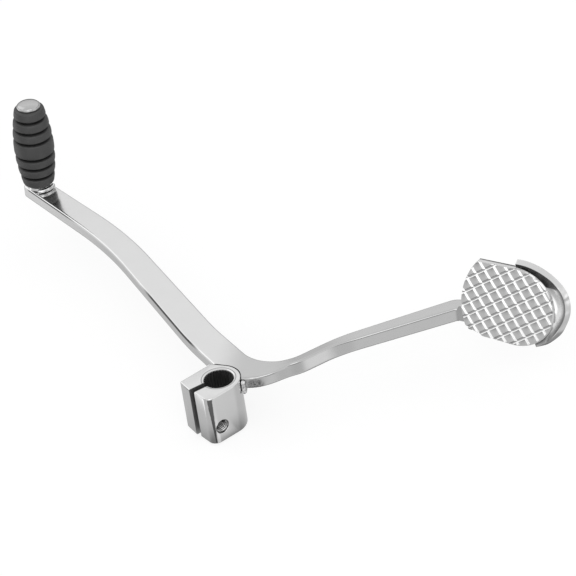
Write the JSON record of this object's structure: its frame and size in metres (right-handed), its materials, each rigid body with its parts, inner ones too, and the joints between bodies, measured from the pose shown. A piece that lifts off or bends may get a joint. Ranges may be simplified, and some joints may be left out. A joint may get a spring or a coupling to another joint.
{
  "type": "motorcycle gear shift lever",
  "caption": "Heel-and-toe gear shift lever: a bent flat bar with a split, splined shaft clamp, a toe peg with a grooved rubber and a chequered heel plate with a turned-up lip.",
  "frame": {"origin": "axis of the splined shaft bore, at the clamp's inboard face", "axes": "+Z outboard along the bore axis; -X out of the clamp's slit; +Y roughly along the toe arm"},
  "size_m": [0.1359, 0.2487, 0.0637],
  "materials": {
    "plated_steel": "bright plated",
    "plated_weld": "plated over a weld bead",
    "rubber_black": "moulded, matt"
  },
  "bodies": {
    "root": {"shaft_clamp": "plated_steel", "lever_bar": "plated_steel", "toe_pin": "plated_steel", "toe_rubber": "rubber_black", "heel_plate": "plated_steel", "clamp_weld": "plated_weld", "pin_weld": "plated_weld", "pad_weld": "plated_weld"}
  },
  "joints": []
}
